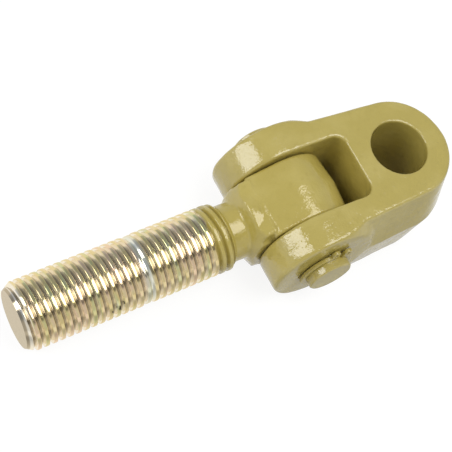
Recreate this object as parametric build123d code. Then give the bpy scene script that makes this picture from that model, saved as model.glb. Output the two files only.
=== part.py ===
from build123d import *
import math
import os

# Clevis rod end (tractor top-link knuckle), millimetres, +Z up.
# Origin: centre of the eye bore at mid height of the yoke. The eye bore runs along Z, the cross
# pin along Y, and the threaded rod leaves the fork towards -X. The yoke lies flat on its lower
# face, and the rod hangs from the cross pin until its thread touches the same surface.

# ---- clevis yoke: a die forging parted at mid height, then bored and slotted ----
pin_to_eye = 48.0           # cross pin axis to eye bore axis
yoke_height = 48.0          # between the flat upper and lower faces
eye_outer_radius = 23.6     # round end, at the upper and lower faces
eye_bore_diameter = 26.0    # takes a 25.4 mm (1 in) hitch pin
eye_bore_chamfer = 0.35
side_taper = 4.1            # degrees, the sides open towards the fork
upper_draft = 11.8          # degrees, the upper side walls lean out to the parting line
lower_draft = 6.2
width_over_bosses = 60.0
boss_edge_round = 1.6
boss_flank = 49.0           # degrees from the pin axis, slope from each boss to the body
slot_width = 30.0
slot_floor_from_pin = 26.0
slot_corner_radius = 5.0
slot_edge_round = 1.1
face_edge_round = 1.6       # edges of the upper and lower faces

# ---- threaded eye rod: a second forging, tongue, collar, neck and shank in one ----
tongue_side_clearance = 0.4
tongue_radius = 21.7        # at its parting plane, about the cross pin
tongue_draft = 5.0          # degrees, the rim falls away to both sides
tongue_edge_round = 1.2
stem_taper = 15.5           # degrees, from the round tongue down to the collar
stem_corner_radius = 5.5    # in plan
stem_core_radius = 17.6     # round section that breaks through the stem's faces
collar_radius = 17.2
collar_edge_round = 1.0
collar_from_pin = 25.0
shoulder_from_pin = 28.3
neck_diameter = 25.4
neck_fillet = 1.5
lead_from_pin = 34.2        # where the thread's run-in starts
thread_diameter = 30.0      # M30 x 3.5
thread_pitch = 3.5
thread_crest_width = 1.6    # flat top of each ridge
thread_flank_angle = 30.0   # each flank off square to the rod
thread_lead_length = 2.6    # each end
rod_length = 130.0          # cross pin axis to the rod's end

# ---- cross pin and its two retaining rings ----
pin_diameter = 20.0
pin_length = 71.5
pin_end_chamfer = 0.6
pin_running_clearance = 0.06    # radial, in the ears and in the tongue
ring_to_boss = 0.3              # end play of the pin, each side
ring_thickness = 1.75
groove_width = 1.85
groove_diameter = 19.0
ring_seat_clearance = 0.02      # radial, ring bore over the groove floor
ring_back_width = 3.2           # radial, opposite the opening
ring_end_width = 2.2            # radial, beside the lugs
lug_hole_diameter = 2.0
lug_hole_radius = 12.7          # from the pin axis
lug_hole_angle = 16.0           # degrees, each side of the opening's middle
lug_half_width = 2.1
ring_opening_angle = 72.0       # degrees, from +X towards +Z

# ---- worked out from the sizes above ----
pin_axis_x = -pin_to_eye
half_height = yoke_height / 2
fork_end_radius = half_height   # the ears' ends run into both flat faces
pin_radius = pin_diameter / 2
cross_bore_radius = pin_radius + pin_running_clearance
boss_face = width_over_bosses / 2
half_slot = slot_width / 2
tongue_half_width = half_slot - tongue_side_clearance
thread_radius = thread_diameter / 2
neck_radius = neck_diameter / 2
groove_radius = groove_diameter / 2
groove_inner_y = boss_face + ring_to_boss - (groove_width - ring_thickness) / 2
ring_inner_y = boss_face + ring_to_boss


def rod_droop():
    """Degrees below level at which the thread's end touches the plane of the lower face."""
    reach = rod_length - thread_lead_length
    grip = math.hypot(reach, thread_radius)
    return math.degrees(math.asin(half_height / grip) - math.atan2(thread_radius, reach))


def along_y(solid):
    return Rot(90, 0, 0) * solid


def yoke_body():
    """Tapered plan with a round end, drafted both ways from the parting line."""
    growth = half_height * math.tan(math.radians(upper_draft))
    taper = math.radians(side_taper)
    radius = eye_outer_radius + growth
    tangent_x = radius * math.sin(taper)
    tangent_y = radius * math.cos(taper)
    back_y = tangent_y + (tangent_x - pin_axis_x) * math.tan(taper)
    arc = ThreePointArc((tangent_x, -tangent_y), (radius, 0), (tangent_x, tangent_y))
    sides = Polyline(
        (tangent_x, tangent_y),
        (pin_axis_x - growth, back_y),
        (pin_axis_x - growth, -back_y),
        (tangent_x, -tangent_y),
    )
    outline = make_face([arc, sides])
    halves = []
    for direction, draft in ((1, upper_draft), (-1, lower_draft)):
        half = extrude(outline, direction * half_height, taper=draft)
        rim = half.faces().sort_by(Axis.Z)[-1 if direction > 0 else 0].edges()
        front = [edge for edge in rim if edge.center().X > pin_axis_x]
        halves.append(fillet(front, face_edge_round))
    body = halves[0] + halves[1]
    ahead = Box(4 * pin_to_eye, width_over_bosses, yoke_height, align=(Align.MIN, Align.CENTER, Align.CENTER))
    return body & (Pos(pin_axis_x, 0, 0) * ahead)


def ear_profile(flank):
    """Half section of both ears about the pin axis: radius along X, pin axis along Y."""
    arc_x = fork_end_radius - boss_edge_round
    arc_y = boss_face - boss_edge_round
    turn = math.radians(90 - boss_flank) if flank else math.pi / 2
    reach = half_height if flank else 0
    end_x = arc_x + boss_edge_round * math.sin(turn)
    end_y = arc_y + boss_edge_round * math.cos(turn)
    mid_x = arc_x + boss_edge_round * math.sin(turn / 2)
    mid_y = arc_y + boss_edge_round * math.cos(turn / 2)
    far_x = end_x + reach
    far_y = end_y - reach * math.tan(turn) if flank else 0
    far_y = max(far_y, 0)
    lines = [Line((0, 0), (0, boss_face))]
    lines.append(Line((0, boss_face), (arc_x, boss_face)))
    lines.append(ThreePointArc((arc_x, boss_face), (mid_x, mid_y), (end_x, end_y)))
    lines.append(Line((end_x, end_y), (far_x, far_y)))
    if far_y > 0:
        lines.append(Line((far_x, far_y), (far_x, 0)))
    lines.append(Line((far_x, 0), (0, 0)))
    return make_face(lines)


def fork_ears():
    """Round ear ends with their bosses, and the bosses' flanks where they meet the body."""
    span = 8 * half_height
    behind = Box(span, span, yoke_height, align=(Align.MAX, Align.CENTER, Align.CENTER))
    ahead = Box(span, span, yoke_height, align=(Align.MIN, Align.CENTER, Align.CENTER))
    plain = revolve(ear_profile(False), Axis.Y) & behind
    flanked = revolve(ear_profile(True), Axis.Y) & ahead
    crossings = flanked.edges().filter_by(GeomType.HYPERBOLA)
    side = plain + fillet(crossings, face_edge_round)
    return Pos(pin_axis_x, 0, 0) * (side + mirror(side, Plane.XZ))


def slot_cutter():
    floor_x = pin_axis_x + slot_floor_from_pin
    mouth_x = pin_axis_x - 2 * fork_end_radius
    plan = Rectangle(floor_x - mouth_x, slot_width)
    corners = plan.vertices().group_by(Axis.X)[-1]
    plan = fillet(corners, slot_corner_radius)
    return Pos((floor_x + mouth_x) / 2, 0, 0) * extrude(plan, yoke_height, both=True)


def on_slot(edge):
    """An edge where a slot wall meets an outer face of the yoke."""
    place = edge @ 0.5
    inside = place.X < pin_axis_x + slot_floor_from_pin + 0.01 and abs(place.Y) < half_slot + 0.01
    outer = abs(abs(place.Z) - half_height) < 0.01
    rim = abs(math.hypot(place.X - pin_axis_x, place.Z) - fork_end_radius) < 0.01
    return inside and (outer or rim)


def make_yoke():
    """Forged fork and eye in one piece."""
    yoke = yoke_body() + fork_ears()
    yoke -= slot_cutter()
    yoke = fillet([edge for edge in yoke.edges() if on_slot(edge)], slot_edge_round)
    eye_radius = eye_bore_diameter / 2
    yoke -= Cylinder(eye_radius, 2 * yoke_height)
    for side in (1, -1):
        sink = Cone(eye_radius, eye_radius + 2 * eye_bore_chamfer, 2 * eye_bore_chamfer)
        yoke -= Pos(0, 0, side * half_height) * (sink if side > 0 else Rot(180, 0, 0) * sink)
    yoke -= Pos(pin_axis_x, 0, 0) * along_y(Cylinder(cross_bore_radius, 2 * width_over_bosses))
    return yoke


def tongue_slab():
    """Round tongue and its tapered stem, drafted to both sides of the parting plane."""
    taper = math.radians(stem_taper)
    tangent_x = tongue_radius * math.sin(taper)
    tangent_z = tongue_radius * math.cos(taper)
    end_z = tangent_z - (collar_from_pin - tangent_x) * math.tan(taper)
    back = ThreePointArc((tangent_x, tangent_z), (-tongue_radius, 0), (tangent_x, -tangent_z))
    stem = Polyline(
        (tangent_x, -tangent_z),
        (collar_from_pin, -end_z),
        (collar_from_pin, end_z),
        (tangent_x, tangent_z),
    )
    outline = make_face([back, stem])
    half = extrude(outline, tongue_half_width, taper=tongue_draft)
    rim = half.faces().sort_by(Axis.Z)[-1].edges()
    half = fillet(rim, tongue_edge_round)
    slab = half + mirror(half, Plane.XY)
    return Rot(90, 0, 0) * slab


def stem_plan():
    """Prism that bounds everything of the rod that lies between the ears."""
    length = collar_from_pin + 2 * tongue_radius
    plan = Rectangle(length, 2 * tongue_half_width)
    plan = fillet(plan.vertices().group_by(Axis.X)[-1], stem_corner_radius)
    return Pos(collar_from_pin - length / 2, 0, 0) * extrude(plan, 2 * tongue_radius, both=True)


def thread_ridges(start, end):
    """The thread's section from start to end, one ring-shaped ridge for each turn."""
    half_groove = (thread_pitch - thread_crest_width) / 2
    root_radius = thread_radius - half_groove / math.tan(math.radians(thread_flank_angle))
    count = int((end - start - thread_crest_width) / thread_pitch)
    points = []
    for turn in range(count, 0, -1):
        next_ridge = end - thread_crest_width - (turn - 1) * thread_pitch
        points.append((next_ridge - 2 * half_groove, thread_radius))
        points.append((next_ridge - half_groove, root_radius))
        points.append((next_ridge, thread_radius))
    return points


def turned_profile():
    """Collar, neck and shank: distance from the pin along X, radius along Y."""
    lead = (thread_radius - neck_radius)
    shank_start = lead_from_pin + thread_lead_length
    shank_end = rod_length - thread_lead_length
    arc = 1 - math.sqrt(0.5)
    collar_x = shoulder_from_pin - collar_edge_round
    collar_r = collar_radius - collar_edge_round
    fillet_x = shoulder_from_pin + neck_fillet
    fillet_r = neck_radius + neck_fillet
    outline = [Polyline((collar_from_pin, 0), (collar_from_pin, collar_radius), (collar_x, collar_radius))]
    outline.append(
        ThreePointArc(
            (collar_x, collar_radius),
            (shoulder_from_pin - collar_edge_round * arc, collar_radius - collar_edge_round * arc),
            (shoulder_from_pin, collar_r),
        )
    )
    outline.append(Line((shoulder_from_pin, collar_r), (shoulder_from_pin, fillet_r)))
    outline.append(
        ThreePointArc(
            (shoulder_from_pin, fillet_r),
            (shoulder_from_pin + neck_fillet * arc, neck_radius + neck_fillet * arc),
            (fillet_x, neck_radius),
        )
    )
    outline.append(
        Polyline(
            (fillet_x, neck_radius),
            (lead_from_pin, neck_radius),
            (shank_start, neck_radius + lead),
            *thread_ridges(shank_start, shank_end),
            (shank_end, neck_radius + lead),
            (rod_length, neck_radius),
            (rod_length, 0),
            (collar_from_pin, 0),
        )
    )
    return make_face(outline)


def make_rod():
    """Forged tongue and stem with its turned collar, neck and shank."""
    core = Pos(collar_from_pin / 2, 0, 0) * Rot(0, 90, 0) * Cylinder(stem_core_radius, collar_from_pin)
    rod = (tongue_slab() + core) & stem_plan()
    rod += revolve(turned_profile(), Axis.X)
    rod -= along_y(Cylinder(cross_bore_radius, slot_width))
    return rod_place() * rod


def rod_place():
    """Turns a rod drawn along +X from its pin axis into the fork, hanging by its droop."""
    return Pos(pin_axis_x, 0, 0) * Rot(0, -rod_droop(), 0) * Rot(0, 0, 180)


def make_pin():
    pin = Cylinder(pin_radius, pin_length)
    pin = chamfer(pin.edges().filter_by(GeomType.CIRCLE), pin_end_chamfer)
    groove_z = groove_inner_y + groove_width / 2
    for side in (1, -1):
        cut = Cylinder(pin_diameter, groove_width) - Cylinder(groove_radius, groove_width)
        pin -= Pos(0, 0, side * groove_z) * cut
    return Pos(pin_axis_x, 0, 0) * along_y(pin)


def ring_plan():
    """External retaining ring with an eccentric rim and two eyed lugs, opening towards +X."""
    bore = groove_radius + ring_seat_clearance
    offset = (ring_back_width - ring_end_width) / 2
    rim = groove_radius + (ring_back_width + ring_end_width) / 2
    plan = Pos(-offset, 0) * Circle(rim)
    lugs = []
    for side in (1, -1):
        lug = Pos(lug_hole_radius, 0) * Circle(lug_half_width)
        lug += Pos((groove_radius + lug_hole_radius) / 2, 0) * Rectangle(
            lug_hole_radius - groove_radius, 2 * lug_half_width
        )
        lugs.append(Rot(0, 0, side * lug_hole_angle) * lug)
        plan += lugs[-1]
    gap_half = lug_hole_radius * math.sin(math.radians(lug_hole_angle)) - lug_half_width
    plan -= Pos(lug_hole_radius, 0) * Rectangle(2 * lug_hole_radius, 2 * gap_half)
    plan -= Circle(bore)
    for side in (1, -1):
        plan -= Rot(0, 0, side * lug_hole_angle) * Pos(lug_hole_radius, 0) * Circle(lug_hole_diameter / 2)
    return plan


def make_ring(side):
    ring = extrude(Rot(0, 0, ring_opening_angle) * ring_plan(), ring_thickness)
    ring = Rot(90, 0, 0) * ring
    if side < 0:
        return Pos(pin_axis_x, -ring_inner_y, 0) * ring
    return Pos(pin_axis_x, ring_inner_y + ring_thickness, 0) * ring


nodes = {
    "clevis_yoke": make_yoke(),
    "threaded_eye_rod": make_rod(),
    "cross_pin": make_pin(),
    "retaining_ring_near": make_ring(-1),
    "retaining_ring_far": make_ring(1),
}

os.makedirs("parts", exist_ok=True)
for name, shape in nodes.items():
    export_step(shape, f"parts/{name}.step")
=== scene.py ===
import math
import bmesh
import bpy
from mathutils import Matrix, Vector, noise


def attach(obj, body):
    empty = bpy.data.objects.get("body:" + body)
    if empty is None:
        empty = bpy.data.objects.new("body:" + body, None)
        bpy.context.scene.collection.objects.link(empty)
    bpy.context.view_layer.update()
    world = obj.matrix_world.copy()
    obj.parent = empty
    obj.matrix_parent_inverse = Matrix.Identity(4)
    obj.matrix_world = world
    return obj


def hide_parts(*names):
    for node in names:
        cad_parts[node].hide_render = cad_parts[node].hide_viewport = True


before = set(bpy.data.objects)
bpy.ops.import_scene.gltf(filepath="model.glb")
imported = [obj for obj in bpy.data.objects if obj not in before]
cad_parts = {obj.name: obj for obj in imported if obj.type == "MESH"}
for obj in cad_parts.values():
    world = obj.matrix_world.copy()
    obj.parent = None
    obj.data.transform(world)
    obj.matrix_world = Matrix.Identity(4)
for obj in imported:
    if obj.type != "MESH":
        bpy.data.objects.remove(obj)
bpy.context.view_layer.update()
print("frame loaded")

mm = 0.001
weld = 1e-6  # metres; points closer than this are one
tiny = 1e-6  # keeps a division away from zero
droop = math.radians(4.068)  # the rod hangs this far below level
pinPoint = Vector((-0.048, 0.0, 0.0))
along = Vector((-math.cos(droop), 0.0, -math.sin(droop)))  # down the rod, away from the pin
rodUp = Vector((-math.sin(droop), 0.0, math.cos(droop)))
near = Vector((0.0, -1.0, 0.0))  # across the rod, towards the camera's side


# small helpers

def makeObject(name, mesh):
    obj = bpy.data.objects.new(name, mesh)
    bpy.context.scene.collection.objects.link(obj)
    return obj


def bakedCopy(obj, name):  # what the modifiers make, as a plain mesh of its own
    shown = obj.evaluated_get(bpy.context.evaluated_depsgraph_get())
    mesh = bpy.data.meshes.new_from_object(shown)
    mesh.name = name
    return mesh


def shadeSmooth(mesh):
    mesh.polygons.foreach_set("use_smooth", [True] * len(mesh.polygons))
    mesh.update()


def setMaterial(mesh, material):
    mesh.materials.clear()
    mesh.materials.append(material)


def fade(value, low, high):  # smooth step from 0 to 1
    t = min(1.0, max(0.0, (value - low) / (high - low)))
    return t * t * (3.0 - 2.0 * t)


def aroundRod(down, angle, radius):  # angle from the rod's top towards the near side
    return pinPoint + along * down + (rodUp * math.cos(angle) + near * math.sin(angle)) * radius


def closeOpenEdges(work):
    bmesh.ops.holes_fill(work, edges=[e for e in work.edges if e.is_boundary], sides=0)


def mergedCopy(nodeName, name):  # a closed copy of a CAD node
    work = bmesh.new()
    work.from_mesh(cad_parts[nodeName].data)
    bmesh.ops.remove_doubles(work, verts=work.verts, dist=weld)
    mesh = bpy.data.meshes.new(name)
    work.to_mesh(mesh)
    work.free()
    return mesh


def softened(mesh, name, spec):  # an even skin whose sharp edges are eased
    raw = makeObject(name + "Raw", mesh)
    remesh = raw.modifiers.new("evenSkin", "REMESH")
    remesh.mode = "VOXEL"
    remesh.voxel_size = spec["voxel"]
    ease = raw.modifiers.new("ease", "SMOOTH")
    ease.factor = 0.5
    ease.iterations = spec["ease"]
    result = bakedCopy(raw, name)
    bpy.data.objects.remove(raw)
    shadeSmooth(result)
    return result


# camera

camera = {
    "place": (-0.310872, -0.166208, 0.482952),
    "turn": (27.344568, -14.376791, -28.237997),
    "lens": 105.401,
    "sensorWidth": 36.0,
}


def makeCamera(spec):
    data = bpy.data.cameras.new("camera")
    data.lens = spec["lens"]
    data.sensor_width = spec["sensorWidth"]
    obj = makeObject("camera", data)
    obj.location = spec["place"]
    obj.rotation_euler = [math.radians(v) for v in spec["turn"]]
    bpy.context.scene.camera = obj


makeCamera(camera)
print("camera set")


# node helpers

class NodeBench:  # one node tree and short calls to fill it
    def __init__(self, tree):
        self.tree = tree

    def add(self, kind, inputs=None, **settings):
        node = self.tree.nodes.new(kind)
        for key, value in settings.items():
            setattr(node, key, value)
        for key, value in (inputs or {}).items():
            self.feed(node.inputs[key], value)
        return node

    def feed(self, socket, value):
        if isinstance(value, bpy.types.NodeSocket):
            self.tree.links.new(value, socket)
        else:
            socket.default_value = value

    def math(self, operation, first, second=None, clamp=False):
        node = self.add("ShaderNodeMath", operation=operation, use_clamp=clamp)
        self.feed(node.inputs[0], first)
        if second is not None:
            self.feed(node.inputs[1], second)
        return node.outputs[0]

    def clamp(self, value, low, high):
        return self.math("MINIMUM", self.math("MAXIMUM", value, low), high)

    def opposite(self, share):  # 1 minus the share
        return self.math("SUBTRACT", 1.0, share)

    def length(self, first, second):
        squares = [self.math("POWER", value, 2.0) for value in (first, second)]
        return self.math("SQRT", self.math("ADD", *squares))

    def ramp(self, value, low, high, toLow=0.0, toHigh=1.0, smooth=True):
        inputs = {"Value": value, "From Min": low, "From Max": high, "To Min": toLow, "To Max": toHigh}
        kind = "SMOOTHSTEP" if smooth else "LINEAR"
        return self.add("ShaderNodeMapRange", inputs, interpolation_type=kind).outputs["Result"]

    def noise(self, place, scale, detail=2.0, roughness=0.5, distortion=0.0):
        inputs = {"Vector": place, "Scale": scale, "Detail": detail, "Roughness": roughness,
                  "Distortion": distortion}
        return self.add("ShaderNodeTexNoise", inputs).outputs["Fac"]

    def wobble(self, place, scale, size, detail=2.0, roughness=0.5):  # noise about zero
        wave = self.math("SUBTRACT", self.noise(place, scale, detail, roughness), 0.5)
        return self.math("MULTIPLY", wave, size)

    def blend(self, amount, first, second):
        node = self.add("ShaderNodeMix", data_type="RGBA", blend_type="MIX")
        for key, value in (("Factor_Float", amount), ("A_Color", first), ("B_Color", second)):
            socket = [s for s in node.inputs if s.identifier == key][0]
            self.feed(socket, value)
        return [s for s in node.outputs if s.identifier == "Result_Color"][0]

    def mix(self, amount, first, second):  # of two plain values
        return self.add("ShaderNodeMix", {"Factor": amount, "A": first, "B": second}).outputs[0]

    def pick(self, value, stops):  # colour ramp
        node = self.add("ShaderNodeValToRGB", {"Fac": value})
        band = node.color_ramp
        while len(band.elements) < len(stops):
            band.elements.new(0.5)
        for element, (place, colour) in zip(band.elements, stops):
            element.position = place
            element.color = (*colour, 1.0)
        return node.outputs["Color"]

    def use(self, group, inputs):  # a node group, with its inputs fed
        node = self.add("ShaderNodeGroup", node_tree=group)
        for label, value in inputs.items():
            self.feed(node.inputs[label], value)
        return node

    def bump(self, height):
        return self.add("ShaderNodeBump", {"Height": height, "Distance": 1.0, "Strength": 1.0}).outputs[0]

    def objectPlace(self):
        return self.add("ShaderNodeTexCoord").outputs["Object"]


def newGroup(name, inputs, outputs):
    tree = bpy.data.node_groups.new(name, "ShaderNodeTree")
    for label, kind, value in inputs:
        socket = tree.interface.new_socket(label, in_out="INPUT", socket_type=kind)
        if value is not None:
            socket.default_value = value
    for label, kind in outputs:
        tree.interface.new_socket(label, in_out="OUTPUT", socket_type=kind)
    bench = NodeBench(tree)
    return tree, bench, bench.add("NodeGroupInput").outputs, bench.add("NodeGroupOutput").inputs


def emptyMaterial(name):
    material = bpy.data.materials.new(name)
    material.use_nodes = True
    material.node_tree.nodes.clear()
    return material, NodeBench(material.node_tree)


def newMaterial(name):
    material, bench = emptyMaterial(name)
    shader = bench.add("ShaderNodeBsdfPrincipled")
    bench.add("ShaderNodeOutputMaterial", {"Surface": shader.outputs[0]})
    return material, bench, shader, bench.objectPlace()


skinOutputs = [
    ("Colour", "NodeSocketColor"),
    ("Roughness", "NodeSocketFloat"),
    ("Height", "NodeSocketFloat"),
]
usualNoise = (0.3, 0.7)  # most of a noise lies between these


# olive enamel

enamel = {
    "colour": (0.455, 0.368, 0.088, 1.0),
    "pale": (0.50, 0.41, 0.115, 1.0),
    "thick": (0.385, 0.305, 0.062, 1.0),
    "cloudsPerMetre": 55.0,  # paler clouds
    "cloudSpan": (0.42, 0.72),  # the noise values over which they come in
    "runsPerMetre": 260.0,  # thicker, darker runs
    "runSpan": (0.56, 0.80),
    "runShare": 0.35,
    "roughness": 0.11,
    "smoother": 0.03,
    "rougher": 0.05,
    "gloss": 0.85,
    "coat": 0.12,
    "coatRoughness": 0.06,
    "refraction": 1.5,
    "peelPerMetre": 900.0,  # orange peel of the sprayed coat
    "peelHeight": 0.07 * mm,
    "scalePerMetre": 320.0,  # forging scale under it
    "scaleHeight": 0.26 * mm,
    "swellPerMetre": 95.0,  # broad unevenness
    "swellHeight": 0.40 * mm,
}


def makeEnamelGroup(spec):
    inputs = [("Place", "NodeSocketVector", None), ("Grain", "NodeSocketFloat", 1.0),
              ("Lumps", "NodeSocketFloat", 1.0)]
    tree, bench, given, out = newGroup("enamelSkin", inputs, skinOutputs)
    place = given["Place"]
    cloud = bench.noise(place, spec["cloudsPerMetre"], 3.0, 0.55)
    runs = bench.noise(place, spec["runsPerMetre"])
    colour = bench.blend(bench.ramp(cloud, *spec["cloudSpan"]), spec["colour"], spec["pale"])
    colour = bench.blend(bench.ramp(runs, *spec["runSpan"], 0.0, spec["runShare"]), colour, spec["thick"])
    peelHeight = bench.math("MULTIPLY", given["Grain"], spec["peelHeight"])
    scaleHeight = bench.math("MULTIPLY", given["Lumps"], spec["scaleHeight"])
    swellHeight = bench.math("MULTIPLY", given["Lumps"], spec["swellHeight"])
    peel = bench.wobble(place, spec["peelPerMetre"], peelHeight)
    scale = bench.wobble(place, spec["scalePerMetre"], scaleHeight, 3.0, 0.6)
    swell = bench.wobble(place, spec["swellPerMetre"], swellHeight)
    least, most = spec["roughness"] - spec["smoother"], spec["roughness"] + spec["rougher"]
    bench.feed(out["Colour"], colour)
    bench.feed(out["Roughness"], bench.ramp(cloud, *usualNoise, least, most))
    bench.feed(out["Height"], bench.math("ADD", peel, bench.math("ADD", scale, swell)))
    return tree


enamelGroup = makeEnamelGroup(enamel)


def setEnamelShader(shader, spec):
    shader.inputs["Metallic"].default_value = 0.0
    shader.inputs["IOR"].default_value = spec["refraction"]
    shader.inputs["Specular IOR Level"].default_value = spec["gloss"]
    shader.inputs["Coat Weight"].default_value = spec["coat"]
    shader.inputs["Coat Roughness"].default_value = spec["coatRoughness"]
    shader.inputs["Coat IOR"].default_value = spec["refraction"]


def makeEnamel(name, grain, lumps):
    material, bench, shader, place = newMaterial(name)
    skin = bench.use(enamelGroup, {"Place": place, "Grain": grain, "Lumps": lumps})
    bench.feed(shader.inputs["Base Color"], skin.outputs["Colour"])
    bench.feed(shader.inputs["Roughness"], skin.outputs["Roughness"])
    bench.feed(shader.inputs["Normal"], bench.bump(skin.outputs["Height"]))
    setEnamelShader(shader, enamel)
    return material


yokeEnamel = makeEnamel("yokeEnamel", grain=1.0, lumps=1.0)
pinEnamel = makeEnamel("pinEnamel", grain=0.6, lumps=0.2)  # turned, so nearly smooth under the coat
ringEnamel = makeEnamel("ringEnamel", grain=0.6, lumps=0.15)
print("enamel made")


# yoke

yoke = {
    "voxel": 0.58 * mm,
    "ease": 5,
    "dent": 0.28 * mm,
    "dentsPerMetre": 85.0,
    "closer": 3.1,  # times as many small ones
    "broadShare": 0.55,
    "smallShare": 0.25,
    "eyeRim": (13.3 * mm, 15.0 * mm),  # dents fade out towards each bore
    "pinRim": (10.4 * mm, 12.0 * mm),
}


def dent(mesh, spec):  # hammer marks, inwards only, none in the two bores
    outwards = [vertex.normal.copy() for vertex in mesh.vertices]
    for vertex, outward in zip(mesh.vertices, outwards):
        place = vertex.co.copy()
        fromEye = math.hypot(place.x, place.y)
        fromPin = math.hypot(place.x - pinPoint.x, place.z)
        keep = fade(fromEye, *spec["eyeRim"]) * fade(fromPin, *spec["pinRim"])
        broad = noise.noise(place * spec["dentsPerMetre"])
        small = noise.noise(place * spec["dentsPerMetre"] * spec["closer"])
        level = min(1.0, max(0.0, 0.5 + spec["broadShare"] * broad + spec["smallShare"] * small))
        vertex.co = place - outward * spec["dent"] * level * keep
    mesh.update()


def makeYoke(spec):
    mesh = softened(mergedCopy("clevis_yoke", "yokeCopy"), "forgedYoke", spec)
    dent(mesh, spec)
    setMaterial(mesh, yokeEnamel)
    return makeObject("forgedYoke", mesh)


forgedYoke = makeYoke(yoke)
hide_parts("clevis_yoke")
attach(forgedYoke, "yoke")
print("yoke made", len(forgedYoke.data.polygons))


# thread

thread = {
    "pitch": 3.5 * mm,
    "crestRadius": 15.0 * mm,
    "depth": 1.95 * mm,
    "crestWidth": 1.4 * mm,
    "rootWidth": 0.35 * mm,
    "crestAt": 0.02 * mm,  # a crest's place down the rod, over its top, modulo the pitch
    "start": 33.6 * mm,
    "end": 130.0 * mm,
    "neckRadius": 12.6 * mm,
    "leadFrom": 34.2 * mm,
    "lead": 2.6 * mm,
    "endSlope": 0.62,  # of the cone at the rod's end
    "straightShare": 0.75,  # how straight the flanks are, against rounded
    "roundFrom": 0.7,  # the crest's edge is rounded from this share of its half width
    "flatTurn": 75.4 * mm,  # one turn is wider and lower than the rest
    "flatFill": 0.6,  # its root is this much filled
    "flatSink": 0.26,
    "flatReach": (0.35, 0.8),  # pitches to each side
    "rowsPerTurn": 20,
    "around": 100,
}
threadInputs = {
    "Pitch": "pitch", "Crest Radius": "crestRadius", "Depth": "depth", "Crest Width": "crestWidth",
    "Root Width": "rootWidth", "Crest At": "crestAt", "Start": "start", "End": "end",
    "Neck Radius": "neckRadius", "Lead From": "leadFrom", "Lead": "lead", "Flat Turn": "flatTurn",
    "Rows Per Turn": "rowsPerTurn", "Around": "around",
}


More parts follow.
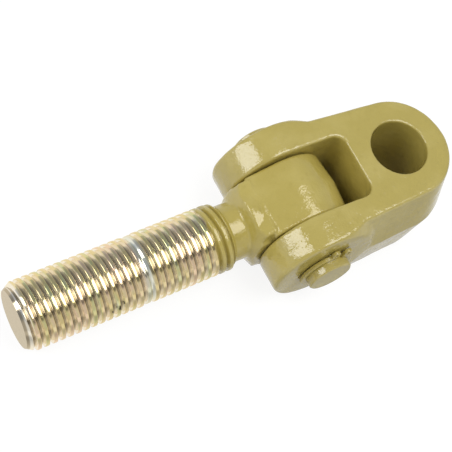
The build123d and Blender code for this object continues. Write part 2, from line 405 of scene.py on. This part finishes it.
def threadTree(spec, material):
    tree = bpy.data.node_groups.new("rolledThread", "GeometryNodeTree")
    tree.interface.new_socket("Geometry", in_out="INPUT", socket_type="NodeSocketGeometry")
    for label, key in threadInputs.items():
        kind = "NodeSocketInt" if isinstance(spec[key], int) else "NodeSocketFloat"
        tree.interface.new_socket(label, in_out="INPUT", socket_type=kind)
    tree.interface.new_socket("Geometry", in_out="OUTPUT", socket_type="NodeSocketGeometry")
    bench = NodeBench(tree)
    given = bench.add("NodeGroupInput").outputs
    calc = bench.math
    pitch = given["Pitch"]

    # one long strip, wound up: rows go down the rod, columns go round it
    span = calc("SUBTRACT", given["End"], given["Start"])
    turns = calc("ADD", calc("CEIL", calc("DIVIDE", span, pitch)), 2.0)  # two more than fit
    rows = calc("ADD", calc("MULTIPLY", turns, given["Rows Per Turn"]), 1.0)
    columns = calc("ADD", given["Around"], 1.0)
    size = {"Size X": 1.0, "Size Y": 1.0, "Vertices X": rows, "Vertices Y": columns}
    grid = bench.add("GeometryNodeMeshGrid", size)
    index = bench.add("GeometryNodeInputIndex").outputs[0]
    row = calc("FLOOR", calc("DIVIDE", calc("ADD", index, 0.5), columns))
    column = calc("SUBTRACT", index, calc("MULTIPLY", row, columns))
    share = calc("DIVIDE", column, given["Around"])

    # a row follows the helix, so crest and root keep their own rows all the way
    step = calc("DIVIDE", row, given["Rows Per Turn"])
    first = calc("FLOOR", calc("DIVIDE", given["Start"], pitch))
    unrolled = calc("ADD", given["Crest At"], calc("MULTIPLY", pitch, calc("ADD", first, step)))
    wanted = calc("SUBTRACT", unrolled, calc("MULTIPLY", pitch, share))
    down = bench.clamp(wanted, given["Start"], given["End"])

    # section of one turn
    phase = calc("SUBTRACT", step, calc("ROUND", step))
    offCrest = calc("MULTIPLY", calc("ABSOLUTE", phase), pitch)
    halfPitch = calc("MULTIPLY", pitch, 0.5)
    flankFrom = calc("MULTIPLY", given["Crest Width"], 0.5)
    flankTo = calc("SUBTRACT", halfPitch, calc("MULTIPLY", given["Root Width"], 0.5))
    straight = bench.ramp(offCrest, flankFrom, flankTo, smooth=False)
    rounded = bench.ramp(offCrest, calc("MULTIPLY", flankFrom, spec["roundFrom"]), halfPitch)
    drop = calc("ADD", calc("MULTIPLY", straight, spec["straightShare"]),
                calc("MULTIPLY", rounded, 1.0 - spec["straightShare"]))

    # the wide turn: its root is partly filled and its crest a little low
    offTurn = calc("ABSOLUTE", calc("SUBTRACT", wanted, given["Flat Turn"]))
    fillFrom, fillTo = [calc("MULTIPLY", pitch, reach) for reach in spec["flatReach"]]
    filled = bench.ramp(offTurn, fillFrom, fillTo, spec["flatFill"], 0.0)
    depth = calc("MULTIPLY", given["Depth"], bench.opposite(filled))
    low = calc("MULTIPLY", calc("MULTIPLY", filled, given["Depth"]), spec["flatSink"])
    profile = calc("SUBTRACT", calc("SUBTRACT", given["Crest Radius"], low), calc("MULTIPLY", drop, depth))

    # cones at both ends
    rise = calc("SUBTRACT", given["Crest Radius"], given["Neck Radius"])
    pastLead = calc("MAXIMUM", calc("SUBTRACT", down, given["Lead From"]), 0.0)
    startCone = calc("ADD", given["Neck Radius"],
                     calc("MULTIPLY", calc("DIVIDE", rise, given["Lead"]), pastLead))
    toEnd = calc("SUBTRACT", given["End"], down)
    endCone = calc("ADD", given["Neck Radius"], calc("MULTIPLY", spec["endSlope"], toEnd))
    radius = calc("MINIMUM", profile, calc("MINIMUM", startCone, endCone))

    turn = calc("MULTIPLY", share, 2.0 * math.pi)
    around = {"X": down, "Y": calc("MULTIPLY", radius, calc("SINE", turn)),
              "Z": calc("MULTIPLY", radius, calc("COSINE", turn))}
    place = bench.add("ShaderNodeCombineXYZ", around).outputs[0]
    moved = bench.add("GeometryNodeSetPosition", {"Geometry": grid.outputs["Mesh"], "Position": place})
    joined = bench.add("GeometryNodeMergeByDistance", {"Geometry": moved.outputs[0], "Distance": weld})
    real = bench.add("GeometryNodeRealizeInstances", {"Geometry": joined.outputs[0]})
    dressed = bench.add("GeometryNodeSetMaterial", {"Geometry": real.outputs[0], "Material": material})
    bench.add("NodeGroupOutput", {"Geometry": dressed.outputs[0]})
    return tree


def closeEnds(mesh):  # flat faces with sharp edges; no face of the strip has as many corners
    work = bmesh.new()
    work.from_mesh(mesh)
    bmesh.ops.dissolve_degenerate(work, edges=work.edges, dist=1e-7)
    closeOpenEdges(work)
    bmesh.ops.recalc_face_normals(work, faces=work.faces)
    ends = [f for f in work.faces if len(f.verts) > 8]
    for edge in {e for f in ends for e in f.edges}:
        edge.smooth = False
    bmesh.ops.triangulate(work, faces=ends)
    work.to_mesh(mesh)
    work.free()


def makeThread(spec, material):
    tree = threadTree(spec, material)
    host = makeObject("threadHost", bpy.data.meshes.new("threadHost"))
    modifier = host.modifiers.new("rolledThread", "NODES")
    modifier.node_group = tree
    for item in tree.interface.items_tree:
        if item.in_out == "INPUT" and item.name in threadInputs:
            modifier[item.identifier] = spec[threadInputs[item.name]]
    mesh = bakedCopy(host, "rolledThread")
    host.modifiers.clear()
    bpy.data.objects.remove(host)
    # from the thread's own axes to the rod's place: X down the rod, Y to the near side, Z up
    axes = Matrix((along, near, rodUp)).transposed().to_4x4()
    mesh.transform(Matrix.Translation(pinPoint) @ axes)
    closeEnds(mesh)
    return mesh


# zinc plating on the thread, enamel on the rest of the rod

zinc = {
    "film": [  # colours of the chromate film by its thickness
        (0.30, (0.69, 0.65, 0.46)),  # steel blue
        (0.40, (0.66, 0.64, 0.32)),  # green
        (0.47, (0.76, 0.61, 0.29)),  # gold
        (0.54, (0.80, 0.67, 0.38)),  # straw
        (0.62, (0.83, 0.61, 0.42)),  # pink
        (0.74, (0.66, 0.64, 0.32)),  # green
    ],
    "filmPerMetre": 190.0,
    "filmStretch": (1.0, 0.22, 0.22),  # longer round the rod than down it
    "finePerMetre": 420.0,
    "fineShare": 0.2,
    "cream": (0.93, 0.88, 0.78, 1.0),  # thin film in the roots and on the flanks
    "crestFrom": 13.9 * mm,
    "crestFull": 14.85 * mm,
    "flankShare": 2.6,
    "rootShare": 0.8,
    # painted shade: the thread's deepest roots are darkened towards brown
    "rootShade": (0.30, 0.23, 0.12, 1.0),
    "rootShadeShare": 0.75,
    "rootShadeFull": 13.1 * mm,
    "rootShadeTo": 13.5 * mm,
    "gritPerMetre": 2600.0,
    "gritHeight": 0.005 * mm,
    "roughness": 0.13,
    "smoother": 0.03,
    "rougher": 0.06,
    "tint": (1.0, 0.94, 0.82, 1.0),  # of what it mirrors at a low angle
    "paintTo": 43.6 * mm,  # enamel overspray ends here
    "paintEdge": 0.5 * mm,
    "paintRagged": 2.2 * mm,
    "raggedPerMetre": 160.0,
    "paleTurn": (0.66, 0.72, 0.60, 1.0),  # the wide turn is greenish white
    "paleShare": 0.48,
    "paleFull": 1.2 * mm,
    "paleTo": 2.4 * mm,
    "ink": (0.035, 0.028, 0.018, 1.0),
    "inkShare": 0.93,
    "inkCore": 0.55,  # full within this share of the radius
    "inkRagged": 3.0 * mm,
    "inkPerMetre": 900.0,
    "inkDots": [  # down the rod, degrees from its top, radius
        (89.4 * mm, 71.5, 1.6 * mm),
        (92.6 * mm, 74.5, 1.3 * mm),
    ],
}


def makeZincGroup(spec):
    inputs = [("Place", "NodeSocketVector", None), ("Radius", "NodeSocketFloat", 0.0)]
    tree, bench, given, out = newGroup("zincSkin", inputs, skinOutputs)
    place, radius = given["Place"], given["Radius"]
    ringwise = bench.add("ShaderNodeMapping", {"Vector": place, "Scale": spec["filmStretch"]}).outputs[0]
    film = bench.noise(ringwise, spec["filmPerMetre"], 2.0, 0.6, 0.4)
    fine = bench.noise(place, spec["finePerMetre"], 3.0, 0.6)
    thickness = bench.math("ADD", bench.math("MULTIPLY", film, 1.0 - spec["fineShare"]),
                           bench.math("MULTIPLY", fine, spec["fineShare"]))
    colour = bench.pick(thickness, spec["film"])
    crest = bench.ramp(radius, spec["crestFrom"], spec["crestFull"])
    root = bench.opposite(crest)
    flank = bench.math("MULTIPLY", bench.math("MULTIPLY", crest, root), spec["flankShare"], clamp=True)
    colour = bench.blend(flank, colour, spec["cream"])
    colour = bench.blend(bench.math("MULTIPLY", root, spec["rootShare"]), colour, spec["cream"])
    # painted shade in the roots: the colour darkens towards brown where the radius is smallest
    deepShade = bench.ramp(radius, spec["rootShadeFull"], spec["rootShadeTo"], spec["rootShadeShare"], 0.0)
    colour = bench.blend(deepShade, colour, spec["rootShade"])
    least, most = spec["roughness"] - spec["smoother"], spec["roughness"] + spec["rougher"]
    grit = bench.noise(place, spec["gritPerMetre"], 2.0, 0.6)
    bench.feed(out["Colour"], colour)
    bench.feed(out["Roughness"], bench.ramp(fine, *usualNoise, least, most))
    bench.feed(out["Height"], bench.math("MULTIPLY", grit, spec["gritHeight"]))
    return tree


def addInk(bench, place, colour, spec):
    for down, degrees, size in spec["inkDots"]:
        centre = aroundRod(down, math.radians(degrees), thread["crestRadius"])
        ends = {0: place, 1: centre}
        gap = bench.add("ShaderNodeVectorMath", ends, operation="DISTANCE").outputs["Value"]
        gap = bench.math("ADD", gap, bench.wobble(place, spec["inkPerMetre"], spec["inkRagged"]))
        dot = bench.ramp(gap, spec["inkCore"] * size, size, spec["inkShare"], 0.0)
        colour = bench.blend(dot, colour, spec["ink"])
    return colour


def makeRodFinish(spec):
    material, bench, shader, place = newMaterial("rodFinish")
    axes = {"Vector": place, "Location": pinPoint, "Rotation": (0.0, math.pi - droop, 0.0)}
    onRod = bench.add("ShaderNodeMapping", axes, vector_type="TEXTURE").outputs[0]
    parts = bench.add("ShaderNodeSeparateXYZ", {"Vector": onRod}).outputs
    down = parts["X"]
    skin = bench.use(enamelGroup, {"Place": place})
    radius = bench.length(parts["Y"], parts["Z"])
    plate = bench.use(makeZincGroup(spec), {"Place": onRod, "Radius": radius})
    edge = bench.math("ADD", down, bench.wobble(place, spec["raggedPerMetre"], spec["paintRagged"]))
    bare = bench.ramp(edge, spec["paintTo"] - spec["paintEdge"], spec["paintTo"] + spec["paintEdge"])
    colour = bench.blend(bare, skin.outputs["Colour"], plate.outputs["Colour"])
    offTurn = bench.math("ABSOLUTE", bench.math("SUBTRACT", down, thread["flatTurn"]))
    pale = bench.ramp(offTurn, spec["paleFull"], spec["paleTo"], spec["paleShare"], 0.0)
    colour = addInk(bench, place, bench.blend(pale, colour, spec["paleTurn"]), spec)
    rough = bench.mix(bare, skin.outputs["Roughness"], plate.outputs["Roughness"])
    height = bench.mix(bare, skin.outputs["Height"], plate.outputs["Height"])
    setEnamelShader(shader, enamel)
    bench.feed(shader.inputs["Base Color"], colour)
    bench.feed(shader.inputs["Roughness"], rough)
    bench.feed(shader.inputs["Normal"], bench.bump(height))
    bench.feed(shader.inputs["Metallic"], bare)
    bench.feed(shader.inputs["Specular Tint"], spec["tint"])
    bench.feed(shader.inputs["Coat Weight"], bench.math("MULTIPLY", bench.opposite(bare), enamel["coat"]))
    return material


rodFinish = makeRodFinish(zinc)


# rod: the forged tongue with its stem, shoulder and neck, and the thread on it

tongue = {
    "voxel": 0.54 * mm,
    "ease": 5,
    "cutAt": 19.2 * mm,
    "radius": 21.7 * mm,
    "halfWidth": 14.6 * mm,
    "draft": math.radians(5.0),
}
stem = {
    "from": 15.5 * mm,
    "sunk": 0.16,  # it starts this share under the tongue's skin
    "coreFrom": 21.5 * mm,  # the round core is full size from here
    "to": 36.0 * mm,
    "taper": math.radians(15.5),
    "sharpFrom": 90.0,  # the higher, the sharper the block's edges
    "sharpTo": 30.0,
    "easedAt": 27.0 * mm,
    "coreRadius": 17.6 * mm,
    "coreGrowth": 3.2 * mm,
    "shoulderAt": 27.8 * mm,
    "shoulderSlope": math.tan(math.radians(60.0)),
    "neckRadius": 12.7 * mm,
    "rows": 70,
    "around": 224,
}


def stemRadius(spec, down, angle):  # a tapered block round a core, turned down to a cone and a neck
    across, up = abs(math.sin(angle)), max(abs(math.cos(angle)), tiny)
    tangentAt = tongue["radius"] * math.sin(spec["taper"])
    tangentHeight = tongue["radius"] * math.cos(spec["taper"])
    halfHeight = tangentHeight - (down - tangentAt) * math.tan(spec["taper"])
    side = tongue["halfWidth"] / (across + up * math.tan(tongue["draft"]))
    eased = fade(down, spec["from"], spec["easedAt"])
    sharp = spec["sharpFrom"] - (spec["sharpFrom"] - spec["sharpTo"]) * eased
    block = (side ** -sharp + (halfHeight / up) ** -sharp) ** (-1.0 / sharp)
    grown = spec["coreRadius"] - spec["coreGrowth"] * (1.0 - fade(down, spec["from"], spec["coreFrom"]))
    core = min(grown, tongue["halfWidth"] / max(across, tiny))
    cone = spec["neckRadius"] + max(0.0, spec["shoulderAt"] - down) * spec["shoulderSlope"]
    sunk = 1.0 - spec["sunk"] * (1.0 - fade(down, spec["from"], tongue["cutAt"]))
    return min(max(block, core) * sunk, cone)


def addStem(work, spec):
    rings = []
    for row in range(spec["rows"] + 1):
        down = spec["from"] + (spec["to"] - spec["from"]) * row / spec["rows"]
        ring = []
        for column in range(spec["around"]):
            angle = 2.0 * math.pi * column / spec["around"]
            ring.append(work.verts.new(aroundRod(down, angle, stemRadius(spec, down, angle))))
        rings.append(ring)
    for lower, upper in zip(rings, rings[1:]):
        for i in range(spec["around"]):
            j = (i + 1) % spec["around"]
            work.faces.new((lower[i], lower[j], upper[j], upper[i]))
    work.faces.new(rings[0])
    work.faces.new(rings[-1][::-1])


def makeTongue(spec):
    work = bmesh.new()
    work.from_mesh(mergedCopy("threaded_eye_rod", "rodCopy"))
    everything = work.verts[:] + work.edges[:] + work.faces[:]
    bmesh.ops.bisect_plane(work, geom=everything, plane_co=pinPoint + along * spec["cutAt"],
                           plane_no=along, clear_outer=True)
    closeOpenEdges(work)
    addStem(work, stem)
    bmesh.ops.recalc_face_normals(work, faces=work.faces)
    mesh = bpy.data.meshes.new("tongueCopy")
    work.to_mesh(mesh)
    work.free()
    return softened(mesh, "forgedTongue", spec)


def makeRod():
    work = bmesh.new()
    threadMesh = makeThread(thread, rodFinish)
    work.from_mesh(makeTongue(tongue))
    work.from_mesh(threadMesh)
    mesh = bpy.data.meshes.new("threadedEyeRod")
    work.to_mesh(mesh)
    work.free()
    shadeSmooth(mesh)
    setMaterial(mesh, rodFinish)
    return makeObject("threadedEyeRod", mesh)


threadedEyeRod = makeRod()
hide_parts("threaded_eye_rod")
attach(threadedEyeRod, "rod")
print("rod made", len(threadedEyeRod.data.polygons))


# cross pin and its rings

rings = {"voxel": 0.28 * mm, "ease": 3}


def makeRing(nodeName, name, spec):
    mesh = softened(mergedCopy(nodeName, name + "Copy"), name, spec)
    setMaterial(mesh, ringEnamel)
    ring = makeObject(name, mesh)
    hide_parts(nodeName)
    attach(ring, "pin")


makeRing("retaining_ring_near", "nearRing", rings)
makeRing("retaining_ring_far", "farRing", rings)
setMaterial(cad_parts["cross_pin"].data, pinEnamel)
print("pin and rings made")


# floor, lamps and surroundings

lamps = {
    "topLamp": {
        "towards": (0.22, -0.235, 0.92), "distance": 1.30,
        "width": 0.95, "depth": 0.80, "watts": 9.0,
    },
    "leftLamp": {
        "towards": (-0.76, 0.33, 0.55), "distance": 1.20,
        "width": 0.45, "depth": 0.85, "watts": 5.2,
    },
}
litPoint = Vector((-0.075, 0.0, 0.0))  # all lamps face it
floor = {
    "at": -24.02 * mm,
    "reach": 4.0,
    "colour": (0.78, 0.78, 0.77, 1.0),  # as it lights the part
    "seenColour": (0.16, 0.16, 0.16, 1.0),  # what takes the shadow, under the glow; where the glow is taken away it shows as painted shade
    "glow": 0.88,
    "shadeFrom": -26.0 * mm,  # painted shade: the floor's glow is taken away under the yoke, from its fork to its eye, so it shows dark there
    "shadeTo": 4.0 * mm,
    "shadeHalfWidth": 20.5 * mm,
    "shadeEdge": 3.0 * mm,
    # painted shade: in reflections the floor is dimmed close beside the yoke, standing in for its shadow, and
    # light further out
    "besideFrom": -10.0 * mm,
    "besideFull": -45.0 * mm,
    "besideLeast": 0.02,
    "besideMost": 0.50,
    "awayFrom": -60.0 * mm,
    "awayFull": -95.0 * mm,
    "awayLeast": 0.1,
}
walls = {
    "fill": 0.42,  # plain light from all round
    "farLow": 0.66,  # mirrored brightness of the far side, at the horizon and higher up
    "farHigh": 0.42,
    "farTo": 0.45,
    "nearLow": 0.72,  # and of the near side
    "nearHigh": 0.22,
    "nearFrom": 0.50,
    "nearTo": 0.62,
    "sideFrom": -0.25,  # where the one becomes the other
    "sideTo": -0.50,
    "plainTint": (1.0, 1.0, 1.0, 1.0),
    "coolTint": (0.88, 0.96, 1.10, 1.0),
}


def makeLamp(name, spec):
    data = bpy.data.lights.new(name, "AREA")
    data.shape = "RECTANGLE"
    data.size = spec["width"]
    data.size_y = spec["depth"]
    data.energy = spec["watts"]
    lamp = makeObject(name, data)
    towards = Vector(spec["towards"]).normalized()
    lamp.location = litPoint + towards * spec["distance"]
    lamp.rotation_euler = towards.to_track_quat("Z", "Y").to_euler()


def floorMaterial(spec):
    material, bench = emptyMaterial("whiteFloor")
    path = bench.add("ShaderNodeLightPath").outputs
    mirrored = bench.math("MAXIMUM", path["Is Glossy Ray"], path["Is Transmission Ray"])
    seen = bench.math("MAXIMUM", path["Is Camera Ray"], mirrored)
    place = bench.add("ShaderNodeSeparateXYZ", {"Vector": bench.objectPlace()}).outputs
    # painted shade: the glow fades out over the yoke's footprint
    beyond = bench.math("SUBTRACT", place["X"], bench.clamp(place["X"], spec["shadeFrom"], spec["shadeTo"]))
    off = bench.length(beyond, place["Y"])
    inner, outer = spec["shadeHalfWidth"] - spec["shadeEdge"], spec["shadeHalfWidth"] + spec["shadeEdge"]
    # painted shade in reflections, by distance beside the yoke
    mirroredShade = bench.math(
        "MULTIPLY",
        bench.ramp(place["Y"], spec["besideFrom"], spec["besideFull"], spec["besideLeast"], spec["besideMost"]),
        bench.ramp(place["Y"], spec["awayFrom"], spec["awayFull"], 1.0, spec["awayLeast"]))
    level = bench.math("SUBTRACT", spec["glow"], bench.math("MULTIPLY", path["Is Glossy Ray"], mirroredShade))
    strength = bench.math("MULTIPLY", bench.ramp(off, inner, outer), level)
    plain = bench.add("ShaderNodeBsdfDiffuse", {"Color": spec["colour"]})
    dim = bench.add("ShaderNodeBsdfDiffuse", {"Color": spec["seenColour"]})
    glow = bench.add("ShaderNodeEmission", {"Color": (1.0, 1.0, 1.0, 1.0), "Strength": strength})
    white = bench.add("ShaderNodeAddShader", {0: dim.outputs[0], 1: glow.outputs[0]})
    both = bench.add("ShaderNodeMixShader", {0: seen, 1: plain.outputs[0], 2: white.outputs[0]})
    bench.add("ShaderNodeOutputMaterial", {"Surface": both.outputs[0]})
    return material


def makeFloor(spec):
    work = bmesh.new()
    reach = spec["reach"]
    corners = ((-reach, -reach), (reach, -reach), (reach, reach), (-reach, reach))
    work.faces.new([work.verts.new((x, y, spec["at"])) for x, y in corners])
    mesh = bpy.data.meshes.new("floor")
    work.to_mesh(mesh)
    work.free()
    setMaterial(mesh, floorMaterial(spec))
    makeObject("floor", mesh)


def makeWorld(spec):
    world = bpy.data.worlds.new("studio")
    bpy.context.scene.world = world
    world.use_nodes = True
    world.node_tree.nodes.clear()
    bench = NodeBench(world.node_tree)
    path = bench.add("ShaderNodeLightPath").outputs
    mirrored = bench.math("MAXIMUM", path["Is Glossy Ray"], path["Is Transmission Ray"])
    direction = bench.add("ShaderNodeTexCoord").outputs["Generated"]
    sides = bench.add("ShaderNodeSeparateXYZ", {"Vector": direction}).outputs
    farSide = bench.ramp(sides["Z"], 0.0, spec["farTo"], spec["farLow"], spec["farHigh"])
    nearSide = bench.ramp(sides["Z"], spec["nearFrom"], spec["nearTo"], spec["nearLow"], spec["nearHigh"])
    nearShare = bench.ramp(sides["Y"], spec["sideFrom"], spec["sideTo"])
    change = bench.math("MULTIPLY", nearShare, bench.math("SUBTRACT", nearSide, farSide))
    inMirror = bench.math("MULTIPLY", mirrored, bench.math("ADD", farSide, change))
    background = bench.math("MAXIMUM", inMirror, path["Is Camera Ray"])
    shown = bench.math("MAXIMUM", mirrored, path["Is Camera Ray"])
    plain = bench.math("MULTIPLY", bench.opposite(shown), spec["fill"])
    cool = bench.math("MULTIPLY", mirrored, bench.opposite(nearShare))
    tint = bench.blend(cool, spec["plainTint"], spec["coolTint"])
    strength = bench.math("ADD", background, plain)
    back = bench.add("ShaderNodeBackground", {"Color": tint, "Strength": strength})
    bench.add("ShaderNodeOutputWorld", {"Surface": back.outputs[0]})


for lampName, lampSpec in lamps.items():
    makeLamp(lampName, lampSpec)
makeFloor(floor)
makeWorld(walls)
bpy.context.scene.view_settings.view_transform = "Standard"
print("studio made")
